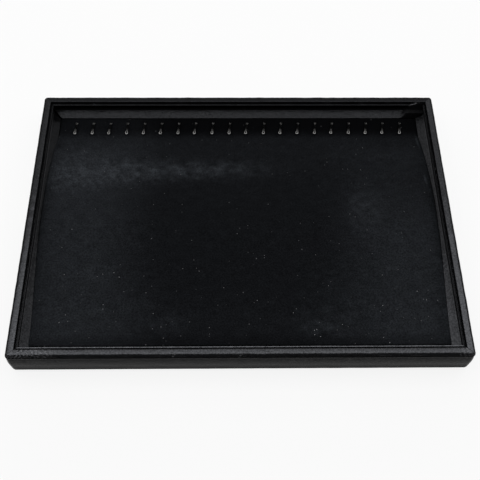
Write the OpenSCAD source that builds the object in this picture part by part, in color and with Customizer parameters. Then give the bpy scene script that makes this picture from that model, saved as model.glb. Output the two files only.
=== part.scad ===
// Bracelet display tray. Four mitred rails wrapped in leatherette stand round a thin board,
// a velvet ramp pad lies on the board between them, and a row of wire hooks stands in the
// flat strip behind the ramp. Millimetres, +Z up, origin at the middle of the underside,
// with the hooks towards +Y and the front rail towards -Y.

/* [Tray] */
// Outside width, along the row of hooks
tray_w = 352; // [300:1:450]
// Outside depth, from the front rail to the back rail
tray_d = 247; // [200:1:340]
// Height of the frame
tray_h = 30; // [28:0.5:40]

/* [Rail moulding] */
// Diameter of the round bead along the rim
bead_d = 6.6; // [5.5:0.1:8]
// How far the wall's belly stands out beyond the bead
belly_out = 1; // [0.5:0.1:2]
// Height at which the belly begins to lean in towards the neck
belly_z = 14; // [9:0.5:16]
// How far the neck under the bead is pinched in behind the bead's outer line
pinch = 0.5; // [0.2:0.1:1]
// Outside corner radius of the frame, seen from above
corner_r = 4; // [2:0.5:6]
// Rounding along the lower outer edge
foot_r = 5.5; // [2:0.5:8]
// Depth of the inner step, from the rim down to the sloping band
step_h = 11.7; // [9:0.1:13]
// How far the step stands back under the bead
step_back = 0.35; // [0.1:0.05:0.8]
// Width of the groove between the bead and the raised fold line
groove_w = 0.9; // [0.5:0.1:1.5]
// Depth of that groove behind the bead's inner edge
groove_d = 0.9; // [0.9:0.1:1.6]
// How far the fold line stands out of the step
fold_out = 0.6; // [0.3:0.1:1]
// Width of the sloping band between the step and the pad
band_w = 7.1; // [5:0.1:10]
// Height that the band falls towards the pad
band_drop = 3.3; // [2:0.1:5]
// Hollow of the band, measured square to its slope
band_hollow = 0.35; // [0.1:0.05:0.6]

/* [Underside] */
// Thickness of the bottom board
board_t = 3; // [2:0.5:4]
// How far the board lies above the foot of the rails
board_recess = 1; // [0.5:0.5:2]
// Width of the rebate that the board sits in
rebate_w = 5; // [3:0.5:6]
// Gap round the edge of the board
board_gap = 0.3; // [0.1:0.1:0.5]

/* [Ramp pad] */
// Gap between the pad and the rails
pad_gap = 0.3; // [0.2:0.1:0.6]
// Depth of the flat strip behind the ramp
strip_d = 17; // [14:0.5:24]
// Height of the crest above the flat strip
crest_rise = 4.2; // [2:0.1:7]
// Distance of the crest from the back of the pad
crest_d = 94; // [60:1:120]
// Height of the pad's front edge above the flat strip
front_rise = 0.6; // [0.2:0.1:1.5]
// Width over which the pad rolls off towards its sides
shoulder_w = 12; // [6:0.5:20]
// Height that the pad loses over that width at the crest
shoulder_drop = 1.7; // [0.5:0.1:1.8]

/* [Wire hooks] */
// Distance from one hook to the next
hook_pitch = 15.4; // [8:0.1:24]
// Least distance from the end hooks to the sides of the pad
hook_margin = 12; // [6:0.5:40]
// Distance of the hooks' legs from the back of the pad
hook_back = 5.6; // [4:0.1:8]
// Diameter of the wire
wire_d = 1; // [0.6:0.05:1.2]
// Outside width of the eye
eye_w = 3.5; // [2.9:0.1:5]
// Slope of the eye's sides towards the stem, in degrees
eye_taper = 12; // [8:1:30]
// Length of the straight stem behind the eye
stem_l = 7.5; // [3:0.1:9]
// Length of each straight arm of the fork behind the stem
fork_l = 1.6; // [0.5:0.1:3]
// Slope of the fork's arms, in degrees
fork_slope = 22; // [10:1:40]
// Radius of the bends, to the middle of the wire
bend_r = 1; // [0.8:0.05:1.1]
// Length of the legs inside the pad
leg_depth = 6; // [3:0.5:8]
// Height of the wire above the flat strip where it bends down
hook_lift = 1.7; // [1.2:0.1:3]
// How far the hook tips up towards its eye, in degrees
hook_tip = 6; // [2:1:12]
// How far the hooks are turned out of line, in degrees
hook_turn = 3; // [0:0.5:5]
// Gap between the two wires of the stem
stem_gap = 0.1; // [0.05:0.05:0.4]
// Gap round each leg in its hole
leg_gap = 0.06; // [0.03:0.01:0.1]

/* [Hidden] */
eps = 0.01;

bead_r = bead_d / 2;
bead_z = tray_h - bead_r;
step_a = belly_out + bead_d - step_back;
base_a = step_a + band_w;
step_z = tray_h - step_h;
band_z = step_z - band_drop;
board_z = board_recess + board_t;
// Angles below the bead's middle at which it ends, inside at the groove and outside at the neck
bead_inner_end = 10;
bead_outer_end = 26;
fold_z = bead_z - bead_r * sin(bead_inner_end) - groove_w - fold_out;
neck_a = belly_out + pinch;
neck_z = bead_z - bead_r * sin(bead_outer_end) - pinch;
arc_steps = 16;

pad_half_w = tray_w / 2 - base_a - pad_gap;
pad_half_d = tray_d / 2 - base_a - pad_gap;
strip_y = pad_half_d - strip_d;
crest_y = pad_half_d - crest_d;
crest_z = band_z + crest_rise;
front_z = band_z + front_rise;
side_z = crest_z - shoulder_drop;
ramp_steps = 24;

wire_r = wire_d / 2;
eye_r = eye_w / 2 - wire_r;
stem_x = wire_r + stem_gap / 2;
arm_rise = asin(cos(fork_slope) * sin(hook_tip));
arm_heading = 180 + atan2(cos(fork_slope) * cos(hook_tip), sin(fork_slope));
arm_x = stem_x + bend_r * (1 - cos(fork_slope)) + fork_l * sin(fork_slope);
leg_reach = bend_r * (1 - sin(arm_rise));
leg_x = arm_x - leg_reach * cos(arm_heading);
hook_y = pad_half_d - hook_back;
hole_fn = 24;
wire_sides = 8;

hook_count = floor(2 * (pad_half_w - hook_margin) / hook_pitch) + 1;
hook_names = [for (i = [1:hook_count]) str("hook_", i < 10 ? "0" : "", i)];

// Points of an arc round (x, y), from one angle to another
function arc(x, y, r, from, to, steps) =
    [for (i = [0:steps]) let (t = from + (to - from) * i / steps) [x + r * cos(t), y + r * sin(t)]];

// Points of a bowed line from p to q: a parabola that stands out to the right by bow
function bowed(p, q, bow, steps) =
    let (d = q - p, side = [d[1], -d[0]] / norm(d))
    [for (i = [0:steps]) let (u = i / steps) p + d * u + side * bow * 4 * u * (1 - u)];

// Smooth rise from 0 to 1, level at both ends
function smooth(u) = (1 - cos(180 * u)) / 2;

// Cross-section of a rail: x runs inwards from the outer face, y upwards.
// Foot, belly, neck, bead, groove, fold line, step, hollow band and the board's rebate.
module rail_section() {
    foot = arc(foot_r, foot_r, foot_r, 270, 180, arc_steps);
    belly = [for (i = [0:arc_steps]) let (u = i / arc_steps)
        [neck_a * u * u, belly_z + (neck_z - belly_z) * u]];
    bead = arc(belly_out + bead_r, bead_z, bead_r, 180 + bead_outer_end, -bead_inner_end,
               2 * arc_steps);
    groove = [[belly_out + bead_d - groove_d, fold_z + fold_out + groove_w / 2]];
    fold = arc(step_a, fold_z, fold_out, 90, -90, arc_steps / 2);
    band = bowed([step_a, step_z], [base_a, band_z], band_hollow, arc_steps / 2);
    rebate = [[base_a, board_z], [base_a - rebate_w, board_z], [base_a - rebate_w, 0]];
    polygon(concat(foot, belly, bead, groove, fold, band, rebate));
}

// A rail of the given length with mitred ends and rounded outside corners. Its outer face
// looks towards -Y, and the middle of that face's lower edge is at the origin.
module rail(length) {
    half = length / 2;
    round_x = half - corner_r;
    intersection() {
        translate([-half, 0, 0])
            rotate([90, 0, 90])
                linear_extrude(length)
                    rail_section();
        linear_extrude(tray_h + eps)
            polygon([
                [-round_x, -eps], [round_x, -eps], [round_x, corner_r],
                [half - base_a, base_a], [base_a - half, base_a], [-round_x, corner_r]
            ]);
    }
    for (side = [-1, 1])
        translate([side * round_x, corner_r, 0])
            rotate([0, 0, side < 0 ? 225 : 270])
                rotate_extrude(angle = 45, $fn = 64)
                    intersection() {
                        translate([corner_r, 0])
                            mirror([1, 0])
                                rail_section();
                        square([corner_r + eps, tray_h]);
                    }
}

module front_rail() {
    color("#2b2b2d")
        translate([0, -tray_d / 2, 0])
            rail(tray_w);
}

module back_rail() {
    color("#28282a")
        rotate([0, 0, 180])
            translate([0, -tray_d / 2, 0])
                rail(tray_w);
}

module left_rail() {
    color("#2e2e30")
        rotate([0, 0, -90])
            translate([0, -tray_w / 2, 0])
                rail(tray_d);
}

module right_rail() {
    color("#303033")
        rotate([0, 0, 90])
            translate([0, -tray_w / 2, 0])
                rail(tray_d);
}

// Thin board in the rails' rebate, a little above their feet
module bottom_board() {
    board_half_w = tray_w / 2 - base_a + rebate_w - board_gap;
    board_half_d = tray_d / 2 - base_a + rebate_w - board_gap;
    color("#1d1c1c")
        translate([-board_half_w, -board_half_d, board_recess])
            cube([2 * board_half_w, 2 * board_half_d, board_t]);
}

// Side view of the pad, y to the right and z up: flat strip at the back, a ramp that starts
// with a visible break and levels out at the crest, and a long fall to the front
module pad_side_view() {
    strip = [[pad_half_d, band_z], [strip_y, band_z]];
    ramp = [for (i = [1:ramp_steps]) let (u = i / ramp_steps)
        [strip_y + (crest_y - strip_y) * u, band_z + crest_rise * sin(90 * u)]];
    fall = [for (i = [1:ramp_steps]) let (u = i / ramp_steps)
        [crest_y - (crest_y + pad_half_d) * u, crest_z + (front_z - crest_z) * smooth(u)]];
    polygon(concat(strip, ramp, fall, [[-pad_half_d, board_z], [pad_half_d, board_z]]));
}

// Front view of the pad: it clears the rails, leans out over their bands and rolls off to
// its crest in a quarter of an ellipse on each side
module pad_front_view() {
    lean_z = min(side_z, step_z);
    lean_x = pad_half_w + (lean_z - band_z) * band_w / band_drop;
    flank = lean_z < side_z ? [[lean_x, lean_z]] : [];
    shoulder = [for (i = [0:arc_steps]) let (t = 90 * i / arc_steps)
        [lean_x - shoulder_w * (1 - cos(t)), side_z + shoulder_drop * sin(t)]];
    right = concat([[pad_half_w, board_z], [pad_half_w, band_z]], flank, shoulder);
    left = [for (i = [len(right) - 1:-1:0]) [-right[i][0], right[i][1]]];
    polygon(concat(right, left));
}

module ramp_pad() {
    color("#18181a")
        difference() {
            intersection() {
                translate([-tray_w / 2, 0, 0])
                    rotate([90, 0, 90])
                        linear_extrude(tray_w)
                            pad_side_view();
                translate([0, pad_half_d, 0])
                    rotate([90, 0, 0])
                        linear_extrude(2 * pad_half_d)
                            pad_front_view();
            }
            for (i = [0:hook_count - 1])
                place_hook(i)
                    for (side = [-1, 1])
                        translate([side * leg_x, 0, -leg_depth - leg_gap])
                            cylinder(h = leg_depth + leg_gap + 1, r = wire_r + leg_gap, $fn = hole_fn);
        }
}

// Puts a hook in its place in the row, turned a little out of line
module place_hook(i) {
    x = (i - (hook_count - 1) / 2) * hook_pitch;
    translate([x, hook_y, band_z])
        rotate([0, 0, hook_turn * sin(i * 137.5)])
            children();
}

// One half of the wire's path in the hook's own plane, from the arm's outer end to the front
// of the eye: each entry is x, y and the heading there
function half_path() =
    let (
        stem_y = -fork_l * cos(fork_slope) - bend_r * sin(fork_slope),
        throat_y = stem_y - stem_l,
        taper_x = stem_x + bend_r * (1 - cos(eye_taper)),
        taper_y = throat_y - bend_r * sin(eye_taper),
        taper_l = (eye_r * cos(eye_taper) - taper_x) / sin(eye_taper),
        eye_y = taper_y - taper_l * cos(eye_taper) - eye_r * sin(eye_taper),
        eye_sweep = 90 + eye_taper,
        eye_steps = 5
    )
    concat(
        [
            [arm_x, 0, 270 - fork_slope],
            [arm_x - fork_l * sin(fork_slope), -fork_l * cos(fork_slope), 270 - fork_slope],
            [stem_x, stem_y, 270],
            [stem_x, throat_y, 270],
            [taper_x, taper_y, 270 + eye_taper]
        ],
        [for (i = [0:eye_steps]) let (t = eye_taper - eye_sweep * i / eye_steps)
            [eye_r * cos(t), eye_y + eye_r * sin(t), 270 + t]]
    );

// Half of the wire in space: x, y, z, heading and climb. The leg rises out of the pad and
// bends over into the arm, and the path tips up towards the eye.
function half_wire() =
    let (
        bend_z = hook_lift - bend_r * cos(arm_rise),
        ahead = [cos(arm_heading), sin(arm_heading)],
        arm_y = leg_reach * ahead[1],
        bend_steps = 4
    )
    concat(
        [[leg_x, 0, -leg_depth, arm_heading, 90]],
        [for (i = [0:bend_steps - 1]) let (t = 90 + (arm_rise - 90) * i / bend_steps)
            [leg_x + bend_r * ahead[0] * (1 - sin(t)), bend_r * ahead[1] * (1 - sin(t)),
             bend_z + bend_r * cos(t), arm_heading, t]],
        [for (p = half_path())
            [p[0], arm_y + p[1] * cos(hook_tip), hook_lift - p[1] * sin(hook_tip),
             atan2(sin(p[2]) * cos(hook_tip), cos(p[2])), asin(-sin(p[2]) * sin(hook_tip))]]
    );

// The whole wire: one half, then its mirror image run backwards
function whole_wire() =
    let (half = half_wire(), last = len(half) - 1)
    concat(half, [for (i = [last - 1:-1:0]) let (p = half[i]) [-p[0], p[1], p[2], -p[3], -p[4]]]);

// Round wire swept along a path, as a ring of points square to the path at each entry
module swept_wire(path) {
    rings = [for (p = path)
        let (
            aside = [-sin(p[3]), cos(p[3]), 0],
            above = [-cos(p[3]) * sin(p[4]), -sin(p[3]) * sin(p[4]), cos(p[4])]
        )
        for (k = [0:wire_sides - 1]) let (t = 360 * k / wire_sides)
            [p[0], p[1], p[2]] + wire_r * (cos(t) * aside + sin(t) * above)];
    last = len(path) - 1;
    walls = [for (i = [0:last - 1], k = [0:wire_sides - 1]) let (j = (k + 1) % wire_sides)
        [i * wire_sides + k, (i + 1) * wire_sides + k, (i + 1) * wire_sides + j, i * wire_sides + j]];
    ends = [
        [for (k = [0:wire_sides - 1]) k],
        [for (k = [wire_sides - 1:-1:0]) last * wire_sides + k]
    ];
    polyhedron(rings, concat(walls, ends), convexity = 6);
}

// A hook bent from one wire, lying towards -Y with its legs at y = 0. The legs stand in the
// pad and bend over into the arms of a fork, the arms run together into the stem, and the
// stem opens again into a teardrop eye.
module hook() {
    swept_wire(whole_wire());
}

module hook_in_row(i) {
    color("#8b8d92")
        place_hook(i)
            hook();
}

front_rail();
back_rail();
left_rail();
right_rail();
bottom_board();
ramp_pad();
for (i = [0:hook_count - 1])
    hook_in_row(i);
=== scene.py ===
import bpy
import numpy as np
from mathutils import Matrix, Vector


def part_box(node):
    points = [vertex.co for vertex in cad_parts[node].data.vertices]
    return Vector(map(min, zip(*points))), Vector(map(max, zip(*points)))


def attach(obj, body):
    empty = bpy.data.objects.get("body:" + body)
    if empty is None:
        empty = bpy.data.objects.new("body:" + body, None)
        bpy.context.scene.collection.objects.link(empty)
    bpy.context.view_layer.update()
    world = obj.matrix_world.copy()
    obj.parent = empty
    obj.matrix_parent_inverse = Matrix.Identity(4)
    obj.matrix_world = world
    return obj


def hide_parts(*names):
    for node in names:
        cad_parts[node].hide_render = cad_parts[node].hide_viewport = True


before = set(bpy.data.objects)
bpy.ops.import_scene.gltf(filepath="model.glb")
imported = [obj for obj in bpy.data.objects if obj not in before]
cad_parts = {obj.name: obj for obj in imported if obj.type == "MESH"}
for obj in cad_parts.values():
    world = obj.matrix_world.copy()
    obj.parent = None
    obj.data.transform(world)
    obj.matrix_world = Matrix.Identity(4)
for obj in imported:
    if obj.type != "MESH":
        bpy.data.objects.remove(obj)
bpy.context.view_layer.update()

# Camera. It stands a little left of the middle, in front of the tray and well above it, and
# looks steeply down at it, as the photograph does. The focal length is in the photograph's
# pixels, across its width.
camera_place = Vector((-0.0074, -0.2888, 0.5233))
camera_yaw = np.radians(1.58)
camera_pitch = np.radians(61.85)
camera_roll = np.radians(1.23)
sensor_width = 36.0
photo_width = 480
focal_pixels = 696.3

camera_data = bpy.data.cameras.new("camera")
camera_data.sensor_width = sensor_width
camera_data.lens = focal_pixels / photo_width * sensor_width
camera = bpy.data.objects.new("camera", camera_data)
bpy.context.scene.collection.objects.link(camera)
bpy.context.scene.camera = camera
ahead = Vector((
    np.sin(camera_yaw) * np.cos(camera_pitch),
    np.cos(camera_yaw) * np.cos(camera_pitch),
    -np.sin(camera_pitch),
))
level_right = ahead.cross(Vector((0, 0, 1))).normalized()
level_up = level_right.cross(ahead)
right = level_right * np.cos(camera_roll) + level_up * np.sin(camera_roll)
up = right.cross(ahead)
camera_turn = Matrix((right, up, -ahead)).transposed()
camera.matrix_world = Matrix.Translation(camera_place) @ camera_turn.to_4x4()
bpy.context.scene.view_settings.view_transform = "Standard"

# Rails. Each is a length of softwood moulding with black leatherette glued round it, cut to
# 45 degrees at both ends and glued to its neighbours. The section, from the outside in: a
# belly, a neck, a round bead, a groove, a raised fold line that overhangs a step, and a hollow
# sloping band. A name that ends in _a is a distance inward from the outer face, in _z a height.
mm = 0.001
rail_low, rail_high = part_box("front_rail")
half_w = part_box("right_rail")[1].x
half_d = -rail_low.y
tray_h = rail_high.z
corner_r = 4.0 * mm
foot_r = 5.5 * mm
belly_out = 1.0 * mm
belly_z = 14.0 * mm
bead_r = 3.3 * mm
bead_a = belly_out + bead_r
bead_z = tray_h - bead_r
bead_outer_end = 26
neck_a = 1.15 * mm
neck_drop = 0.5 * mm
neck_z = bead_z - bead_r * np.sin(np.radians(bead_outer_end)) - neck_drop
flat_end_a = 6.7 * mm
flat_end_z = tray_h - 0.12 * mm
lip_r = 0.85 * mm
fold_r = 0.8 * mm
fold_a = 9.3 * mm
fold_z = tray_h - 2.7 * mm
fold_inset = 0.3 * mm
groove_r = 0.12 * mm
groove_a = 8.15 * mm
groove_z = fold_z - 0.3 * mm
under_a = 7.7 * mm
under_z = fold_z - 3.5 * mm
step_a = 7.25 * mm
step_z = tray_h - 11.7 * mm
base_a = 14.35 * mm
band_z = step_z - 3.3 * mm
band_hollow = 0.35 * mm
board_z = 4.0 * mm
rebate_w = 5.0 * mm


def line(start, end, count):
    """Points of a straight line, without its end: start plus a rising share of the way."""
    share = np.arange(count)[:, None] / count
    return np.array(start) + share * (np.array(end) - np.array(start))


def bow(start, end, rise, count):
    """A line that bows to its right by rise: the straight line plus a parabola square to it."""
    start, end = np.array(start), np.array(end)
    share = np.arange(count)[:, None] / count
    along = end - start
    aside = np.array([along[1], -along[0]]) / np.linalg.norm(along)
    return start + share * along + aside * rise * 4 * share * (1 - share)


def arc(centre, radius, first, last, count):
    """Points of an arc: the centre plus the radius at evenly spaced angles, both ends included."""
    angle = np.radians(np.linspace(first, last, count))
    return np.array(centre) + radius * np.stack([np.cos(angle), np.sin(angle)], 1)


def rail_section():
    """The moulding's outline, inward distance and height, from the foot up over the bead and
    down to the underside: arcs, parabolas and straight lines joined end to end."""
    lean = np.linspace(0, 1, 22)[:, None]
    return np.concatenate([
        arc((foot_r, foot_r), foot_r, 270, 180, 16)[:-1],
        line((0, foot_r), (0, belly_z), 14),
        np.concatenate([neck_a * lean ** 2, belly_z + (neck_z - belly_z) * lean], 1),
        arc((bead_a, bead_z), bead_r, 180 + bead_outer_end, 92, 34),
        line((bead_a, tray_h), (flat_end_a, flat_end_z), 6),
        arc((flat_end_a, flat_end_z - lip_r), lip_r, 84, 8, 9),
        arc((groove_a, groove_z), groove_r, 200, 340, 5),
        arc((fold_a, fold_z), fold_r, 160, -60, 15),
        line((fold_a - fold_inset, fold_z - fold_r), (under_a, under_z), 7),
        line((under_a, under_z), (step_a, step_z), 20),
        bow((step_a, step_z), (base_a, band_z), band_hollow, 24),
        line((base_a, band_z), (base_a, board_z), 8),
        line((base_a, board_z), (base_a - rebate_w, board_z), 6),
        line((base_a - rebate_w, board_z), (base_a - rebate_w, 0), 5),
        line((base_a - rebate_w, 0), (foot_r, 0), 4),
    ])


def outward(section):
    """Unit normals of the outline: each point's neighbours' difference, turned to the outside."""
    along = np.roll(section, -1, 0) - np.roll(section, 1, 0)
    normal = np.stack([-along[:, 1], along[:, 0]], 1)
    return normal / np.linalg.norm(normal, axis=1, keepdims=True)


def smooth_step(value, low, high):
    """0 below low and 1 above high, with a level start and end between them."""
    share = np.clip((value - low) / (high - low), 0, 1)
    return share * share * (3 - 2 * share)


def bump_of(value, low, high):
    """1 inside the span from low to high, falling smoothly to 0 over a tenth of it outside."""
    edge = (high - low) * 0.1
    return smooth_step(value, low - edge, low) * (1 - smooth_step(value, high, high + edge))


def waves(rng, places, shortest, longest, count=24):
    """Smooth random height over places, about -1 to 1: a sum of sine waves in random directions
    with lengths between shortest and longest."""
    total = np.zeros(places.shape[:-1])
    for _ in range(count):
        length = np.exp(rng.uniform(np.log(shortest), np.log(longest)))
        direction = rng.normal(size=places.shape[-1])
        direction /= np.linalg.norm(direction)
        total += np.sin(places @ direction * 2 * np.pi / length + rng.uniform(0, 2 * np.pi))
    return total / np.sqrt(count / 2)


def closed_mesh(name, grid, attributes):
    """A closed mesh from a grid of points: rows of rings, each ring closed on itself, and a cap
    on the first and the last. The faces are turned over if the enclosed volume is negative.
    attributes holds one value per point under each name."""
    rows, ring = grid.shape[:2]
    index = np.arange(rows * ring).reshape(rows, ring)
    near, far = index[:-1], index[1:]
    quads = np.stack([near, np.roll(near, -1, 1), np.roll(far, -1, 1), far], -1).reshape(-1, 4)
    points = grid.reshape(-1, 3)
    corners = points[quads]
    volume = np.einsum("ij,ij->", corners[:, 0], np.cross(corners[:, 1], corners[:, 2]))
    volume += np.einsum("ij,ij->", corners[:, 0], np.cross(corners[:, 2], corners[:, 3]))
    caps = [index[0][::-1], index[-1]]
    for cap in caps:
        fan = points[cap]
        volume += np.einsum("ij,j->", np.cross(fan[1:-1], fan[2:]), fan[0])
    if volume < 0:
        quads = quads[:, ::-1]
        caps = [cap[::-1] for cap in caps]
    mesh = bpy.data.meshes.new(name)
    mesh.from_pydata(points, [], quads.tolist() + [cap.tolist() for cap in caps])
    mesh.polygons.foreach_set("use_smooth", [True] * len(quads) + [False, False])
    for key, values in attributes.items():
        layer = mesh.attributes.new(key, "FLOAT", "POINT")
        layer.data.foreach_set("value", values.reshape(-1).astype(np.float32))
    piece = bpy.data.objects.new(name, mesh)
    bpy.context.scene.collection.objects.link(piece)
    return piece


column_step = 1.1 * mm
end_zone = 16.0 * mm
end_columns = 40


def run_of_columns(half, inward):
    """Places along one rail for each inward distance: columns in even steps in the middle, and
    near each end columns that share out the way to the mitre, round the corner where the
    distance is less than its radius. Returns along, across and the turn round the corner."""
    reach = half - end_zone
    middle = np.linspace(-reach, reach, int(2 * reach / column_step))[:, None]
    share = np.arange(1, end_columns + 1)[:, None] / end_columns
    straight = end_zone - np.maximum(corner_r, inward)
    round_r = np.maximum(corner_r - inward, 0)
    way = share * (straight + round_r * np.pi / 4)
    safe_r = np.maximum(round_r, 1e-9)
    angle = np.where(round_r > 0, np.maximum(way - straight, 0) / safe_r, 0)
    end_x = reach + np.minimum(way, straight) + round_r * np.sin(angle)
    end_y = inward + round_r * (1 - np.cos(angle))
    level = np.zeros((len(middle), len(inward)))
    along = np.concatenate([-end_x[::-1], middle + level, end_x])
    across = np.concatenate([end_y[::-1], inward + level, end_y])
    turned = np.concatenate([-angle[::-1], level, angle])
    return along, across, turned


# Painted light on the step: low on the step's wall under the fold line the skin is painted paler,
# to lift the shade that the lip casts there.
step_light_h = 5 * mm
step_light_fade = 3 * mm
step_light_paleness = 0.08


def step_painted_light(across, height):
    """Painted light along the step, under the fold line: 1 low on the step's wall and 0 above
    step_light_h.
    """
    near_step = (across > groove_a - 1.0 * mm) & (across < step_a + 1.2 * mm)
    off_band = height > step_z - 0.6 * mm
    return smooth_step(step_z + step_light_h - height, 0, step_light_fade) * near_step * off_band


rim_depth = 4 * mm
rim_fade_depth = 5 * mm
flank_depth = 0.5 * mm
flank_fade_depth = 1.6 * mm
# The outer face's painted reflection, and its share over the face's height: least at the foot, as
# painted shade, and most just under the bead.
face_painted_reflection = 0.36
face_heights = np.array([0, 4, 7, 12, 16, 20, 25, 26.6]) * mm
face_shares = [0, 0.03, 0.25, 0.55, 0.95, 1.4, 1.75, 0.2]


def rail_painted_reflection(across, height, to_back, painted_reflection):
    """How strongly the skin reflects at each point: painted reflection and shade, set zone by zone
    for how the light falls on each. The rim goes from its front value to its back one and changes
    inward by its gain. The fold line, the band and the bead's flank have values of their own,
    joined by smooth steps, and the outer face follows a curve over its height, lowest at the foot
    as painted shade."""
    rim = painted_reflection["rim_front"] + (painted_reflection["rim_back"] - painted_reflection["rim_front"]) * to_back
    rim = rim * (1 + painted_reflection["rim_gain"] * np.clip(across / bead_a - 1.1, -1, 1))
    on_rim = smooth_step(height, tray_h - rim_fade_depth, tray_h - rim_depth)
    inner = np.where(across > groove_a, painted_reflection["fold"], rim)
    inner = painted_reflection["band"] + (inner - painted_reflection["band"]) * on_rim
    on_flank = smooth_step(tray_h - height, flank_depth, flank_fade_depth)
    outer = rim + (painted_reflection["flank"] - rim) * on_flank
    share = np.interp(height, face_heights, face_shares)
    face = painted_reflection["flank"] + (face_painted_reflection - painted_reflection["flank"]) * share
    outer = np.where(height < bead_z, face, outer)
    return np.where(across < bead_a, outer, inner)


slack_height = 0.045 * mm
pucker_height = 0.02 * mm
face_depth = 3 * mm
mitre_fade = 4 * mm
seam_w = 0.9 * mm
seam_depth = 1.1 * mm


def rail(name, half, to_tray, seed, open_ends, painted_reflection, marks):
    """One rail: the section carried along it, then pushed in or out along its normals by the
    slack and the puckers of the leatherette, by a groove at each mitre that has opened and by
    the marks of use, which also shift it inward and upward. to_tray turns rail axes, which run
    along, inward and up, into the tray's."""
    rng = np.random.default_rng(seed)
    section = rail_section()
    normal = outward(section)
    along, across, turned = run_of_columns(half, section[:, 0])
    height = np.broadcast_to(section[:, 1], along.shape)
    travelled = np.cumsum(np.linalg.norm(np.roll(section, -1, 0) - section, axis=1))
    places = np.stack([along, np.broadcast_to(travelled, along.shape)], -1)
    from_mitre = half - np.abs(along) - across
    on_face = smooth_step(neck_z + 1 * mm - height, 0, 3 * mm) * (across < face_depth)
    slack = slack_height * waves(rng, places, 9 * mm, 40 * mm) * (1 - 0.7 * on_face)
    slack += pucker_height * waves(rng, places, 1.8 * mm, 5 * mm, 60) * (1 - 0.6 * on_face)
    shown = (height > band_z) | (across < face_depth)
    free = np.clip(from_mitre / mitre_fade, 0, 1) * shown
    push = slack * free
    # Pale skin where marks have worn it, plus painted light on the step and a painted highlight
    # along the slack ridge.
    wear_and_painted_light = step_light_paleness * step_painted_light(across, height)
    shift_in = np.zeros_like(along)
    shift_up = np.zeros_like(along)
    for mark in marks:
        lift, wear_and_light, inward, upward = mark(rng, along, across, height, places)
        push = push + lift * free
        wear_and_painted_light = np.maximum(wear_and_painted_light, wear_and_light)
        shift_in = shift_in + inward
        shift_up = shift_up + upward
    on_band = (across > step_a + 0.2 * mm) & (height > band_z - 3 * mm) & (height < step_z + mm)
    for end in open_ends:
        beside = np.clip(1 - from_mitre / seam_w, 0, 1) * (along * end > 0)
        push = push - seam_depth * beside * on_band
    out_in = normal[:, 0] * push + shift_in
    x = along - out_in * np.sin(turned)
    y = across + out_in * np.cos(turned)
    z = height + normal[:, 1] * push + shift_up
    rail_turn, rail_place = to_tray
    grid = np.stack([x, y, z], -1) @ np.array(rail_turn).T + np.array(rail_place)
    to_back = 0.5 + grid[..., 1] / (2 * half_d)
    painted_reflection_here = rail_painted_reflection(across, height, to_back, painted_reflection)
    return closed_mesh(name, grid, {"wear_and_painted_light": wear_and_painted_light, "painted_reflection": painted_reflection_here})


def nick_mark(x, width, depth):
    """A short cut across the bead's outer quarter, open and paler than the skin: its depth falls
    off as a bell curve with the distance from a slanting line."""
    outer_end, inner_end = 1.1 * mm, 3.4 * mm
    middle_a = 2.2 * mm
    slant = 0.9
    paleness = 0.5

    def mark(rng, along, across, height, places):
        on_bead = bump_of(across, outer_end, inner_end) * (height > neck_z)
        aside = (along - x - slant * (across - middle_a)) / width
        cut = np.exp(-aside ** 2) * on_bead
        return -depth * cut, paleness * cut, 0, 0
    return mark


def scuff_mark(low, high, side, depth, paleness):
    """Rubbed and torn skin over a stretch of the bead: short random waves, strongest near one end
    of the stretch, lifted in flakes and paler where they stand out."""
    outer_end, inner_end = 1.4 * mm, 7.2 * mm
    shortest, longest = 0.9 * mm, 4 * mm
    flake_level = 0.35
    flake_top = 1.2
    far_share = 0.35

    def mark(rng, along, across, height, places):
        end = np.clip((along - low) / (high - low), 0, 1)
        near_end = 1 - end if side < 0 else end
        scuffed = bump_of(along, low, high) * bump_of(across, outer_end, inner_end)
        scuffed = scuffed * (height > neck_z) * (far_share + (1 - far_share) * near_end)
        rough = waves(rng, places * [1, 1.8], shortest, longest, 80)
        flakes = np.clip(rough - flake_level, 0, flake_top) * scuffed
        return depth * flakes, paleness * np.clip(1.6 * flakes, 0, 1), 0, 0
    return mark


def ring_place(section, ring, point):
    """How far round the section, by the lengths in ring, its corner nearest to a point lies."""
    return ring[np.argmin(np.linalg.norm(section - point, axis=1))]


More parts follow.
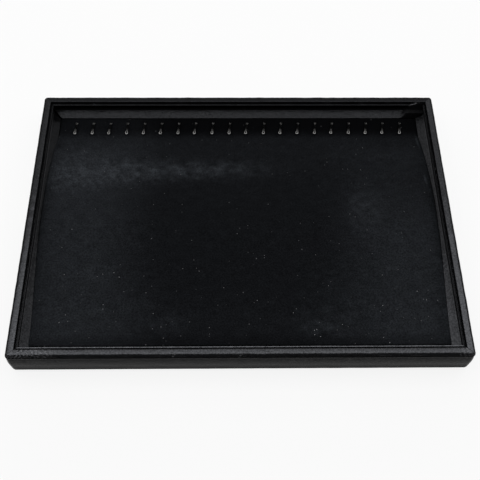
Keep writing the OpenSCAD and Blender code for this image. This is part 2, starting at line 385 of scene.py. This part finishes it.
def slack_mark(start, end, lean):
    """Loose skin in a corner: a ridge climbs in a straight line from under the fold line to the lip
    of the rim as it nears the mitre, and from the ridge to the foot of the band the skin runs
    straight. It leaves the foot before the ridge, by lean times the squared share of the way down.
    A pale line along the ridge is a painted highlight."""
    fold_foot = np.array([fold_a - 0.4 * mm, fold_z - 2 * fold_r])
    ridge_low = np.array([fold_a + 1.0 * mm, fold_z - 1.5 * mm])
    ridge_high = np.array([flat_end_a + 0.7 * lip_r, flat_end_z - 0.3 * lip_r])
    band_foot = np.array([base_a, band_z])
    onset = 5 * mm
    ridge_highlight_w = 0.5 * mm
    ridge_highlight_offset = 0.2 * mm

    def mark(rng, along, across, height, places):
        section = rail_section()
        ring = places[0, :, 1]
        fold_place = ring_place(section, ring, fold_foot)
        lip_place = ring_place(section, ring, ridge_high)
        foot_place = ring_place(section, ring, band_foot)
        from_start = -along - start
        way = np.clip(from_start / (end - start), 0, 1)
        ridge = fold_place + (lip_place - fold_place) * way
        ridge_a, ridge_z = ridge_low[:, None, None] + (ridge_high - ridge_low)[:, None, None] * way
        share = np.clip((places[..., 1] - ridge) / (foot_place - ridge), 0, 1)
        covered = (share > 0) & (share < 1)
        begun = smooth_step(from_start + lean * share ** 2, 0, onset) * covered
        inward = (ridge_a + (band_foot[0] - ridge_a) * share - across) * begun
        upward = (ridge_z + (band_foot[1] - ridge_z) * share - height) * begun
        # A painted highlight along the ridge.
        ridge_highlight = np.exp(-((places[..., 1] - ridge - ridge_highlight_offset) / ridge_highlight_w) ** 2)
        ridge_highlight = ridge_highlight * smooth_step(from_start, 0, 2 * mm) * (1 - smooth_step(way, 0.85, 1))
        return 0, ridge_highlight, inward, upward
    return mark


turn_front = ([[1, 0, 0], [0, 1, 0], [0, 0, 1]], [0, -half_d, 0])
turn_back = ([[-1, 0, 0], [0, -1, 0], [0, 0, 1]], [0, half_d, 0])
turn_left = ([[0, 1, 0], [-1, 0, 0], [0, 0, 1]], [-half_w, 0, 0])
turn_right = ([[0, -1, 0], [1, 0, 0], [0, 0, 1]], [half_w, 0, 0])
# Painted reflection per rail: how strongly the band, the bead's flank, the fold line and the rim of
# each rail reflect, set for each side apart, as painted shine and shade for how the light falls on
# it.
painted_reflection_front = {
    "band": 0.3, "flank": 0.04, "fold": 1.2, "rim_back": 0.55, "rim_front": 0.55, "rim_gain": -0.5}
painted_reflection_back = {
    "band": 0.185, "flank": 0.05, "fold": 0.2, "rim_back": 0.22, "rim_front": 0.22, "rim_gain": 0.2}
painted_reflection_left = {
    "band": 0.18, "flank": 0.22, "fold": 0.14, "rim_back": 0.33, "rim_front": 0.55, "rim_gain": 0.5}
painted_reflection_right = {
    "band": 0.34, "flank": 0.44, "fold": 0.12, "rim_back": 0.58, "rim_front": 0.66, "rim_gain": 0.0}
marks_front = [
    scuff_mark(-173 * mm, -141 * mm, -1, 0.13 * mm, 0.5),
    scuff_mark(163 * mm, 173 * mm, 1, 0.08 * mm, 0.4),
    nick_mark(-0.5 * mm, 0.35 * mm, 0.1 * mm),
    nick_mark(-50 * mm, 0.3 * mm, 0.02 * mm),
]
marks_back = [slack_mark(150 * mm, 164 * mm, 5 * mm)]
rails = {
    "front_rail": rail("moulding_front", half_w, turn_front, 11, [], painted_reflection_front, marks_front),
    "back_rail": rail("moulding_back", half_w, turn_back, 12, [1], painted_reflection_back, marks_back),
    "left_rail": rail("moulding_left", half_d, turn_left, 13, [-1], painted_reflection_left, []),
    "right_rail": rail("moulding_right", half_d, turn_right, 14, [], painted_reflection_right, []),
}


def linear(hex_colour):
    """An sRGB hex colour as linear red, green, blue and alpha."""
    srgb = np.array([int(hex_colour[i:i + 2], 16) / 255 for i in (1, 3, 5)])
    parts = np.where(srgb <= 0.04045, srgb / 12.92, ((srgb + 0.055) / 1.055) ** 2.4)
    return (*parts.tolist(), 1.0)


def add_node(tree, kind, sockets=None, **settings):
    """Adds a shader node, sets its properties, and fills or links its named sockets."""
    node = tree.nodes.new("ShaderNode" + kind)
    for key, value in settings.items():
        setattr(node, key, value)
    for key, value in (sockets or {}).items():
        if isinstance(value, bpy.types.NodeSocket):
            tree.links.new(value, node.inputs[key])
        else:
            node.inputs[key].default_value = value
    return node


def new_material(name):
    """An empty node material and its tree."""
    material = bpy.data.materials.new(name)
    material.use_nodes = True
    material.node_tree.nodes.clear()
    return material, material.node_tree


# Leatherette: PVC-coated cloth with an embossed pebble grain about 0.8 mm wide. It is close to
# black, with a slightly cold shine whose strength is painted rail by rail and zone by zone, as
# painted reflection and shade for how the light falls on each. It is pale grey where the coating is
# rubbed or torn, with painted light on the step under the fold line and a painted highlight along
# the slack ridge. The shine dies off at a grazing angle, where the pebbles hide each other.
grain_w = 0.8 * mm
leatherette, tree = new_material("pebbled_pvc_leatherette")
place = add_node(tree, "TexCoord").outputs["Object"]
pebbles = add_node(
    tree, "TexVoronoi", {"Vector": place, "Scale": 1 / grain_w}, feature="SMOOTH_F1")
dents = add_node(tree, "TexNoise", {"Vector": place, "Scale": 1 / (3 * grain_w), "Detail": 2.0})
relief = add_node(tree, "Mix", {
    "Factor": 0.35, "A": pebbles.outputs["Distance"], "B": dents.outputs["Fac"]})
bump = add_node(tree, "Bump", {
    "Strength": 0.6, "Distance": 0.12 * mm, "Height": relief.outputs["Result"]})
cloud = add_node(tree, "TexNoise", {"Vector": place, "Scale": 1 / (25 * mm), "Detail": 3.0})
roughness = add_node(tree, "MapRange", {
    "Value": cloud.outputs["Fac"], "From Min": 0.3, "From Max": 0.7,
    "To Min": 0.2, "To Max": 0.28})
facing = add_node(tree, "LayerWeight", {"Blend": 0.5})
squarely = add_node(tree, "MapRange", {
    "Value": facing.outputs["Facing"], "From Min": 0.22, "From Max": 0.5,
    "To Min": 1.0, "To Max": 0.07}, interpolation_type="SMOOTHSTEP")
# Painted reflection: the shine's strength, set per rail and per zone.
painted_reflection_here = add_node(tree, "Attribute", attribute_name="painted_reflection")
handled = add_node(tree, "TexNoise", {"Vector": place, "Scale": 1 / (1.3 * mm), "Detail": 2.0})
uneven = add_node(tree, "MapRange", {
    "Value": handled.outputs["Fac"], "From Min": 0.3, "From Max": 0.7,
    "To Min": 0.6, "To Max": 1.4})
gloss = add_node(tree, "Math", {
    0: squarely.outputs["Result"], 1: painted_reflection_here.outputs["Fac"]}, operation="MULTIPLY")
gloss = add_node(tree, "Math", {
    0: gloss.outputs["Value"], 1: uneven.outputs["Result"]}, operation="MULTIPLY")
# Pale grey where the coating is worn, and also painted light on the step and a painted highlight
# along the slack ridge.
wear_and_light = add_node(tree, "Attribute", attribute_name="wear_and_painted_light")
colour = add_node(tree, "Mix", {
    "Factor": wear_and_light.outputs["Fac"], "A": linear("#0b0b0c"), "B": linear("#77777a")},
    data_type="RGBA")
surface = add_node(tree, "BsdfPrincipled", {
    "Base Color": colour.outputs["Result"], "Roughness": roughness.outputs["Result"],
    "Specular IOR Level": gloss.outputs["Value"], "Specular Tint": linear("#f4f7ff"),
    "Normal": bump.outputs["Normal"]})
add_node(tree, "OutputMaterial", {"Surface": surface.outputs["BSDF"]})

for node_name, piece in rails.items():
    piece.data.materials.append(leatherette)
    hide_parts(node_name)
    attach(piece, "root")

# Bottom board. Thin board covered in black paper, let into the rebate under the rails. Its
# own flat shape is right, so the frame's solid stays and takes the paper's finish.
paper, tree = new_material("black_backing_paper")
place = add_node(tree, "TexCoord").outputs["Object"]
fibre = add_node(tree, "TexNoise", {"Vector": place, "Scale": 1 / (0.9 * mm), "Detail": 4.0})
cloud = add_node(tree, "TexNoise", {"Vector": place, "Scale": 1 / (30 * mm), "Detail": 3.0})
mottle = add_node(tree, "Mix", {
    "Factor": 0.5, "A": fibre.outputs["Fac"], "B": cloud.outputs["Fac"]})
colour = add_node(tree, "Mix", {
    "Factor": mottle.outputs["Result"], "A": linear("#161515"), "B": linear("#262524")},
    data_type="RGBA")
bump = add_node(tree, "Bump", {
    "Strength": 0.3, "Distance": 0.05 * mm, "Height": fibre.outputs["Fac"]})
surface = add_node(tree, "BsdfPrincipled", {
    "Base Color": colour.outputs["Result"], "Roughness": 0.85, "Normal": bump.outputs["Normal"]})
add_node(tree, "OutputMaterial", {"Surface": surface.outputs["BSDF"]})
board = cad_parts["bottom_board"]
board.data.materials.clear()
board.data.materials.append(paper)

# Ramp pad. Black velvet stretched over a filled form and turned down at its edges. A flat
# strip at the back carries the hooks, then the pad ramps up to a crest and falls to the front,
# and its shoulders drop towards the side bands and lean out over them.
pad_gap = 0.3 * mm
pad_half_w = half_w - base_a - pad_gap
pad_half_d = half_d - base_a - pad_gap
pad_under_z = board_z + 0.05 * mm
strip_y = pad_half_d - 17 * mm
crest_y = pad_half_d - 94 * mm
crest_rise = 4.2 * mm
front_rise = 0.6 * mm
band_lean = (base_a - step_a) / (step_z - band_z)
band_gap = 0.25 * mm
shoulder_w = 12 * mm
shoulder_drop = 1.7 * mm
shoulder_power = 1.3
edge_r = 1.3 * mm
row_step = 1.15 * mm
top_columns = 270
column_bunching = 0.92
wall_columns = 6
under_columns = 12
sway_height = 0.10 * mm
ripple_height = 0.035 * mm
sway_fade = 6 * mm


def pad_height(y):
    """Height of the pad's middle line: level strip, a quarter sine wave up to the crest and half
    a cosine wave down to the front."""
    climb = np.clip((strip_y - y) / (strip_y - crest_y), 0, 1)
    fall = np.clip((crest_y - y) / (crest_y + pad_half_d), 0, 1)
    down = (crest_rise - front_rise) * (1 - np.cos(np.pi * fall)) / 2
    return band_z + crest_rise * np.sin(np.pi / 2 * climb) - down


def pad_rows():
    """Places of the rows from front to back: even steps, and closer ones at the rolled edges."""
    edge = edge_r * (1 - np.cos(np.linspace(0, np.pi / 2, 7)))
    reach = pad_half_d - edge_r
    middle = np.linspace(-reach, reach, int(2 * reach / row_step))
    return np.concatenate([-pad_half_d + edge, middle[1:-1], pad_half_d - edge[::-1]])


def ellipse_drop(distance, width):
    """How far a quarter ellipse of that width and of height 1 has dropped at a distance from its
    edge: 1 minus the root of 1 minus the squared share of the width."""
    share = np.clip(1 - distance / width, 0, 1)
    return 1 - np.sqrt(1 - share ** 2)


rng = np.random.default_rng(21)
rows = pad_rows()
middle_z = pad_height(rows)
climbed = np.clip((middle_z - band_z - front_rise) / (crest_rise - front_rise), 0, 1)
drop = shoulder_drop * climbed ** shoulder_power
edge_z = middle_z - drop
edge_x = pad_half_w + np.maximum(edge_z - band_z, 0) * band_lean - band_gap
bunched = column_bunching * np.pi / 2
top_share = np.sin(np.linspace(-1, 1, top_columns) * bunched) / np.sin(bunched)
top_x = edge_x[:, None] * top_share
top_y = np.broadcast_to(rows[:, None], top_x.shape)
from_edge = edge_x[:, None] - np.abs(top_x)
to_end = pad_half_d - np.abs(top_y)
places = np.stack([top_x, top_y], -1)
sway = sway_height * waves(rng, places, 30 * mm, 110 * mm)
sway += ripple_height * waves(rng, places, 8 * mm, 22 * mm, 40)
sway *= np.clip(np.minimum(from_edge, to_end) / sway_fade, 0, 1)
top_z = middle_z[:, None] - drop[:, None] * ellipse_drop(from_edge, shoulder_w)
top_z = top_z - edge_r * (ellipse_drop(to_end, edge_r) + 0.5 * ellipse_drop(from_edge, edge_r))
top_z = top_z + sway

# The rest of each ring: from the corner down along the band, down the wall into the frame,
# and back under the pad to the other side.
corner_z = top_z[:, -1:]
band_share = np.array([[0.35, 0.7]])
lean_x = edge_x[:, None] + (pad_half_w - edge_x[:, None]) * band_share
lean_z = corner_z + (np.minimum(band_z, corner_z) - corner_z) * band_share
wall_top_z = np.minimum(band_z, corner_z - 0.2 * mm)
wall_x = np.full((len(rows), wall_columns), pad_half_w)
wall_z = wall_top_z + np.linspace(0, 1, wall_columns) * (pad_under_z - wall_top_z)
under_row = np.linspace(pad_half_w, -pad_half_w, under_columns + 2)[1:-1]
under_x = np.broadcast_to(under_row, (len(rows), under_columns))
under_z = np.full(under_x.shape, pad_under_z)
ring_x = np.concatenate(
    [top_x, lean_x, wall_x, under_x, -wall_x[:, ::-1], -lean_x[:, ::-1]], 1)
ring_z = np.concatenate(
    [top_z, lean_z, wall_z, under_z, wall_z[:, ::-1], lean_z[:, ::-1]], 1)
ring_y = np.broadcast_to(rows[:, None], ring_x.shape)

# Painted sheen and shade on the velvet. It is paler where the sheen of the pile shows, and darker
# as painted shade on the strip at the back, in the back corners and along the front edge. Each
# sheen patch is a soft ellipse and each painted highlight on a crease at the right edge a thin
# leaning one: middle and half sizes in millimetres, and strength.
sheen_patches = [
    (-142, 45, 26, 13, 0.25),
    (-100, 48, 30, 12, 0.22),
    (-60, 50, 36, 9, 0.26),
    (-10, 51, 34, 8, 0.20),
    (-120, 68, 42, 12, 0.05),
    (104, 12, 13, 20, 0.16),
    (-54, -91, 12, 6, 0.12),
    (60, -94, 14, 6, 0.15),
    (74, -84, 22, 34, 0.07),
    (-84, -82, 26, 26, 0.06),
    (-118, -50, 22, 9, 0.05),
]
crease_highlights = [
    (160, 81, 0.9, 6, 0.45),
    (161, 40, 0.9, 5, 0.45),
]
crease_highlight_slant = 0.1


def soft_patch(x, y, middle_x, middle_y, half_x, half_y, strength):
    """Strength at the middle of an ellipse, falling off as a bell curve over its half sizes."""
    far = ((x - middle_x) / half_x) ** 2 + ((y - middle_y) / half_y) ** 2
    return strength * np.exp(-far)


x_mm = ring_x / mm
y_mm = ring_y / mm
ragged = waves(rng, np.stack([x_mm, y_mm * 1.3], -1), 3.5, 22, 80)
# Painted sheen: paler towards both sides, less so at the back right, a little paler at the back and
# the front, and paler in the sheen patches.
beside_middle = smooth_step(np.abs(x_mm), 60, 130)
at_back_right = smooth_step(x_mm, 0, 60) * smooth_step(y_mm, -30, 50)
towards_back = smooth_step(y_mm, 30, 80)
towards_front = smooth_step(-y_mm, 55, 90)
painted_sheen_and_shade = 0.15 + 0.25 * beside_middle * (1 - 0.7 * at_back_right)
painted_sheen_and_shade = painted_sheen_and_shade + 0.04 * towards_back + 0.03 * towards_front
for patch in sheen_patches:
    painted_sheen_and_shade = painted_sheen_and_shade + soft_patch(x_mm, y_mm, *patch) * (1 + 0.3 * ragged)
# Painted shade in the back corners and on the strip, with a little painted light on the strip's
# left, and painted highlights on the creases.
shaded_back_corners = smooth_step(y_mm, 64, 84) * smooth_step(np.abs(x_mm), 80, 125)
on_strip = smooth_step(y_mm, 83, 97)
strip_left = smooth_step(-x_mm, 50, 110)
painted_sheen_and_shade = painted_sheen_and_shade * (1 - 0.33 * shaded_back_corners) * (1 + 0.05 * ragged) * (1 - 0.88 * on_strip)
painted_sheen_and_shade = painted_sheen_and_shade + 0.07 * on_strip * strip_left
for middle_x, middle_y, half_x, half_y, strength in crease_highlights:
    leant_x = x_mm + crease_highlight_slant * (y_mm - middle_y)
    painted_sheen_and_shade = painted_sheen_and_shade + soft_patch(leant_x, y_mm, middle_x, middle_y, half_x, half_y, strength)
# Painted shade along the front edge, beside the rail.
shaded_front_edge = smooth_step(-y_mm, 97, 107)
painted_sheen_and_shade = painted_sheen_and_shade * (1 - 0.35 * shaded_front_edge)

# Lint: how thickly the specks lie, thicker in the front third and in a few clusters, which are soft
# ellipses as the sheen patches are.
linted = [
    (-120, -49, 26, 9, 0.9),
    (44, -81, 6, 3, 1.6),
    (-55, -92, 9, 4, 1.0),
    (62, -95, 8, 4, 1.2),
    (-146, -9, 6, 5, 1.0),
    (-107, 105, 3, 3, 1.5),
]
lint = 0.04 + 0.22 * smooth_step(-y_mm, 10, 75)
for cluster in linted:
    lint = lint + soft_patch(x_mm, y_mm, *cluster)
pad = closed_mesh(
    "velvet_pad", np.stack([ring_x, ring_y, ring_z], -1), {"painted_sheen_and_shade": painted_sheen_and_shade, "lint": lint})

# Velvet: a dense cut pile under 1 mm long. It swallows light and is nearly black, with a faint
# sheen at its rolled edges, cloudy patches where the pile lies over, a mottled grain of tufts
# and specks of lint about 0.5 mm wide.
tuft_w = 1.2 * mm
speck_spacing = 2.2 * mm
velvet, tree = new_material("black_velvet")
place = add_node(tree, "TexCoord").outputs["Object"]
# Painted sheen and shade, from the pad's map, lightens or darkens the pile's colour.
sheen_and_shade_here = add_node(tree, "Attribute", attribute_name="painted_sheen_and_shade")
streaks = add_node(tree, "Mapping", {"Vector": place, "Scale": (0.8, 1.3, 1.0)})
cloud = add_node(tree, "TexNoise", {
    "Vector": streaks.outputs["Vector"], "Scale": 1 / (9 * mm), "Detail": 6.0, "Roughness": 0.65})
pile = add_node(tree, "TexNoise", {"Vector": place, "Scale": 1 / tuft_w, "Detail": 4.0})
cloud_gain = add_node(tree, "MapRange", {
    "Value": cloud.outputs["Fac"], "From Min": 0.3, "From Max": 0.7,
    "To Min": 0.85, "To Max": 1.18})
pile_gain = add_node(tree, "MapRange", {
    "Value": pile.outputs["Fac"], "From Min": 0.34, "From Max": 0.66,
    "To Min": 0.6, "To Max": 1.4})
lighter = add_node(tree, "Math", {
    0: sheen_and_shade_here.outputs["Fac"], 1: cloud_gain.outputs["Result"]}, operation="MULTIPLY")
lighter = add_node(tree, "Math", {
    0: lighter.outputs["Value"], 1: pile_gain.outputs["Result"]}, operation="MULTIPLY")
speck = add_node(tree, "TexVoronoi", {"Vector": place, "Scale": 1 / speck_spacing})
speck_size = add_node(tree, "MapRange", {
    "Value": speck.outputs["Distance"], "From Min": 0.07, "From Max": 0.18,
    "To Min": 1.0, "To Max": 0.0})
speck_luck = add_node(tree, "SeparateColor", {"Color": speck.outputs["Color"]})
lint_here = add_node(tree, "Attribute", attribute_name="lint")
speck_sum = add_node(tree, "Math", {
    0: lint_here.outputs["Fac"], 1: 0.25, 2: speck_luck.outputs["Red"]}, operation="MULTIPLY_ADD")
speck_kept = add_node(tree, "MapRange", {
    "Value": speck_sum.outputs["Value"], "From Min": 0.95, "From Max": 1.05,
    "To Min": 0.0, "To Max": 1.0})
dust = add_node(tree, "Math", {
    0: speck_size.outputs["Result"], 1: speck_kept.outputs["Result"]}, operation="MULTIPLY")
colour = add_node(tree, "Mix", {
    "Factor": lighter.outputs["Value"], "A": linear("#030304"), "B": linear("#33363a")},
    data_type="RGBA")
colour = add_node(tree, "Mix", {
    "Factor": dust.outputs["Value"], "A": colour.outputs["Result"], "B": linear("#8e8e90")},
    data_type="RGBA")
bump = add_node(tree, "Bump", {
    "Strength": 0.4, "Distance": 0.15 * mm, "Height": pile.outputs["Fac"]})
surface = add_node(tree, "BsdfPrincipled", {
    "Base Color": colour.outputs["Result"], "Roughness": 0.95, "Specular IOR Level": 0.03,
    "Sheen Weight": 0.012, "Sheen Roughness": 0.4, "Normal": bump.outputs["Normal"]})
add_node(tree, "OutputMaterial", {"Surface": surface.outputs["BSDF"]})
pad.data.materials.append(velvet)
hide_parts("ramp_pad")
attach(pad, "root")

# Hooks. Each is bent from one nickel-plated wire: two legs pushed into the pad, a short fork, a
# double stem and a teardrop eye towards the front, tipped up a little over the velvet. Use has
# swung them to the left round their legs, those at the right end of the row the most.
wire_r = 0.4 * mm
wire_sides = 12
eye_r = 0.95 * mm
eye_taper = np.radians(12)
stem_l = 7.9 * mm
fork_l = 1.6 * mm
fork_slope = np.radians(5)
bend_r = 1.0 * mm
leg_depth = 6 * mm
hook_lift = 1.7 * mm
hook_tip = np.radians(6)
stem_x = wire_r + 0.05 * mm
hook_pitch = 15.4 * mm
hook_wobble = np.radians(1.5)
hook_swing_left = np.radians(2)
hook_swing_right = np.radians(10)
hook_count = sum(name.startswith("hook_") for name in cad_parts)
hook_y = pad_half_d - 5.6 * mm
golden_angle = np.radians(137.5)


def turned_points(start, radius, first, last, count):
    """An arc that starts at a point and heads from the first angle to the last one: the point
    plus the radius times the difference of the headings' normals."""
    heading = np.linspace(first, last, count)
    swing = np.sign(last - first) * radius
    x = start[0] + swing * (np.sin(heading) - np.sin(first))
    y = start[1] - swing * (np.cos(heading) - np.cos(first))
    return np.stack([x, y], 1)


def half_hook():
    """Half of the wire's middle line: leg, bend, fork arm, stem, taper and eye, joined end to
    end. The part from the fork to the eye is laid out flat and then tipped up about the fork."""
    back = -np.pi / 2
    arm = np.linspace(0, fork_l, 5)[:, None] * [np.sin(-fork_slope), -np.cos(fork_slope)]
    throat = turned_points(arm[-1], bend_r, back - fork_slope, back, 6)
    stem = throat[-1] + np.linspace(0, stem_l, 12)[1:, None] * [0, -1]
    flare = turned_points(stem[-1], bend_r, back, back + eye_taper, 4)
    half = np.concatenate([arm, throat[1:], stem, flare[1:]])
    half[:, 0] += stem_x - throat[-1, 0]
    reach = (eye_r * np.cos(eye_taper) - half[-1, 0]) / np.sin(eye_taper)
    side = half[-1] + np.linspace(0, reach, 6)[1:, None] * [np.sin(eye_taper), -np.cos(eye_taper)]
    eye = turned_points(side[-1], eye_r, back + eye_taper, -np.pi, 14)
    flat = np.concatenate([half, side, eye[1:]])
    over = np.stack([flat[:, 0], flat[:, 1] * np.cos(hook_tip), -flat[:, 1] * np.sin(hook_tip)], 1)
    first = over[1] - over[0]
    first /= np.linalg.norm(first)
    across = first * [1, 1, 0]
    across /= np.linalg.norm(across)
    climb = np.arcsin(first[2])
    angle = np.linspace(np.pi / 2, climb, 8)[:-1, None]
    centre = over[0] + bend_r * (across * np.sin(climb) - np.array([0, 0, 1]) * np.cos(climb))
    bend = centre + bend_r * (-across * np.sin(angle) + np.array([0, 0, 1]) * np.cos(angle))
    leg = np.linspace([bend[0, 0], bend[0, 1], -leg_depth - hook_lift], bend[0], 7)[:-1]
    path = np.concatenate([leg, bend, over])
    path[:, 1] -= bend[0, 1]
    path[:, 2] += hook_lift
    path[0, 2] = -leg_depth
    return path


def round_wire(path, radius, sides):
    """Rings of points square to a path: its direction at each point, one side direction that is
    carried along it without twist, and the radius turned round in the plane of the two."""
    along = np.gradient(path, axis=0)
    along /= np.linalg.norm(along, axis=1, keepdims=True)
    aside = np.zeros_like(path)
    last = np.array([0.0, 1.0, 0.0])
    for i, way in enumerate(along):
        last = last - way * (last @ way)
        last /= np.linalg.norm(last)
        aside[i] = last
    above = np.cross(along, aside)
    angle = 2 * np.pi * np.arange(sides) / sides
    return (path[:, None] + radius * (np.cos(angle)[None, :, None] * aside[:, None]
                                      + np.sin(angle)[None, :, None] * above[:, None]))


# Nickel plating: a slightly yellow-grey metal, drawn smooth. Its colour is painted bright at the
# eye and on the fork as painted glints, and nearly black along the stem between them as a painted
# dark reflection.
nickel, tree = new_material("nickel_plated_wire")
place = add_node(tree, "TexCoord").outputs["Object"]
tarnish = add_node(tree, "TexNoise", {"Vector": place, "Scale": 1 / (1.5 * mm), "Detail": 3.0})
dull = add_node(tree, "MapRange", {
    "Value": tarnish.outputs["Fac"], "From Min": 0.3, "From Max": 0.7,
    "To Min": 0.22, "To Max": 0.38})
bare = add_node(tree, "Mix", {
    "Factor": tarnish.outputs["Fac"], "A": linear("#949392"), "B": linear("#bab9b7")},
    data_type="RGBA")
painted_glint = add_node(tree, "Attribute", attribute_name="painted_glint")
colour = add_node(tree, "Mix", {
    "Factor": painted_glint.outputs["Fac"], "A": linear("#1c1c1d"), "B": bare.outputs["Result"]},
    data_type="RGBA")
surface = add_node(tree, "BsdfPrincipled", {
    "Base Color": colour.outputs["Result"], "Metallic": 1.0, "Roughness": dull.outputs["Result"]})
add_node(tree, "OutputMaterial", {"Surface": surface.outputs["BSDF"]})

half_path = half_hook()
other_half = half_path[-2::-1] * [-1, 1, 1]
whole_path = np.concatenate([half_path, other_half])
wire = round_wire(whole_path, wire_r, wire_sides)
# Painted glints: the eye and the fork are painted bright, and the stem is painted dark.
from_front = (whole_path[:, 1] - whole_path[:, 1].min()) / mm
eye_glint = 1 - 0.7 * smooth_step(from_front, 1.5, 3.5) - 0.3 * smooth_step(from_front, 4.5, 6.0)
fork_glint = smooth_step(from_front, 11.0, 11.8) - 0.6 * smooth_step(from_front, 12.5, 13.5)
glint_paint = np.tile(np.maximum(eye_glint, fork_glint)[:, None], (1, wire_sides))
for number in range(hook_count):
    name = "hook_%02d" % (number + 1)
    middle = np.array([(number - (hook_count - 1) / 2) * hook_pitch, hook_y, band_z])
    row_share = number / (hook_count - 1)
    swung = hook_swing_left + (hook_swing_right - hook_swing_left) * row_share
    turned = hook_wobble * np.sin(number * golden_angle) - swung
    spin = np.array([
        [np.cos(turned), -np.sin(turned), 0],
        [np.sin(turned), np.cos(turned), 0],
        [0, 0, 1],
    ])
    piece = closed_mesh("wire_" + name, wire @ spin.T + middle, {"painted_glint": glint_paint})
    piece.data.materials.append(nickel)
    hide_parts(name)
    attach(piece, "root")

# Floor and light. A wide matt white floor, one long soft lamp overhead, two strip lamps behind
# the tray, one high and one low, and a dim even room. Floor and room are white to the camera,
# and the floor in reflections too, with a faint shadow of the tray left on it.
floor_half = 6.0
floor_mesh = bpy.data.meshes.new("floor")
floor_mesh.from_pydata(
    [(-floor_half, -floor_half, 0), (floor_half, -floor_half, 0),
     (floor_half, floor_half, 0), (-floor_half, floor_half, 0)], [], [(0, 1, 2, 3)])
floor = bpy.data.objects.new("floor", floor_mesh)
bpy.context.scene.collection.objects.link(floor)
floor_paint, tree = new_material("white_studio_floor")
ray = add_node(tree, "LightPath")
lit = add_node(tree, "BsdfDiffuse", {"Color": linear("#f4f4f4")})
reflected = add_node(tree, "Math", {
    0: ray.outputs["Is Glossy Ray"], 1: ray.outputs["Is Transmission Ray"]}, operation="MAXIMUM")
seen = add_node(tree, "Math", {
    0: ray.outputs["Is Camera Ray"], 1: reflected.outputs["Value"]}, operation="MAXIMUM")
glow = add_node(tree, "Emission", {"Color": (1, 1, 1, 1), "Strength": seen.outputs["Value"]})
white = add_node(tree, "MixShader", {
    "Fac": 0.86, 1: lit.outputs["BSDF"], 2: glow.outputs["Emission"]})
add_node(tree, "OutputMaterial", {"Surface": white.outputs["Shader"]})
floor_mesh.materials.append(floor_paint)

world = bpy.data.worlds.new("studio")
bpy.context.scene.world = world
world.use_nodes = True
tree = world.node_tree
tree.nodes.clear()
ray = add_node(tree, "LightPath")
room_light = add_node(tree, "MapRange", {
    "Value": ray.outputs["Is Camera Ray"], "To Min": 0.08, "To Max": 1.0})
room = add_node(tree, "Background", {
    "Color": (1, 1, 1, 1), "Strength": room_light.outputs["Result"]})
add_node(tree, "OutputWorld", {"Surface": room.outputs["Background"]})


def soft_lamp(name, place, target, width, depth, watts):
    """A rectangular lamp at a place, turned to face a target."""
    data = bpy.data.lights.new(name, "AREA")
    data.shape = "RECTANGLE"
    data.size = width
    data.size_y = depth
    data.energy = watts
    lamp = bpy.data.objects.new(name, data)
    lamp.location = place
    facing = Vector(target) - Vector(place)
    lamp.rotation_euler = facing.to_track_quat("-Z", "Y").to_euler()
    bpy.context.scene.collection.objects.link(lamp)


soft_lamp("overhead_strip", (0.0, 0.1, 1.0), (0, 0.1, 0), 4.0, 0.85, 19)
soft_lamp("upper_strip_behind", (0.0, 0.95, 0.95), (0, 0, 0), 3.6, 0.5, 3.3)
soft_lamp("low_strip_behind", (0.0, 1.3, 0.45), (0, 0, 0.1), 2.4, 0.5, 6)
